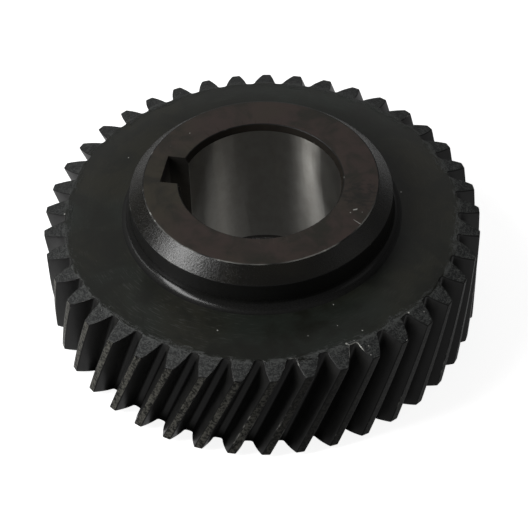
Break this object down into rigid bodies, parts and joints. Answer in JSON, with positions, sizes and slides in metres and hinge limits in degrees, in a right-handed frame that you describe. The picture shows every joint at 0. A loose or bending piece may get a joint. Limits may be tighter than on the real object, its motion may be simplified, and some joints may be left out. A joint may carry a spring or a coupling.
{
  "type": "helical gear",
  "caption": "Right-hand helical gear with a short one-sided hub, bevelled tooth ends and a keyed through bore.",
  "frame": {"origin": "on the bore axis, in the plain flat end face that the gear rests on", "axes": "+Z along the bore axis towards the hub; the keyway is cut towards -X"},
  "size_m": [0.1378, 0.1378, 0.052],
  "materials": {
    "blackened_steel": "black oxide over turned, bored and hobbed steel, a little worn along the edges"
  },
  "bodies": {
    "root": {"helical_gear": "blackened_steel"}
  },
  "joints": []
}
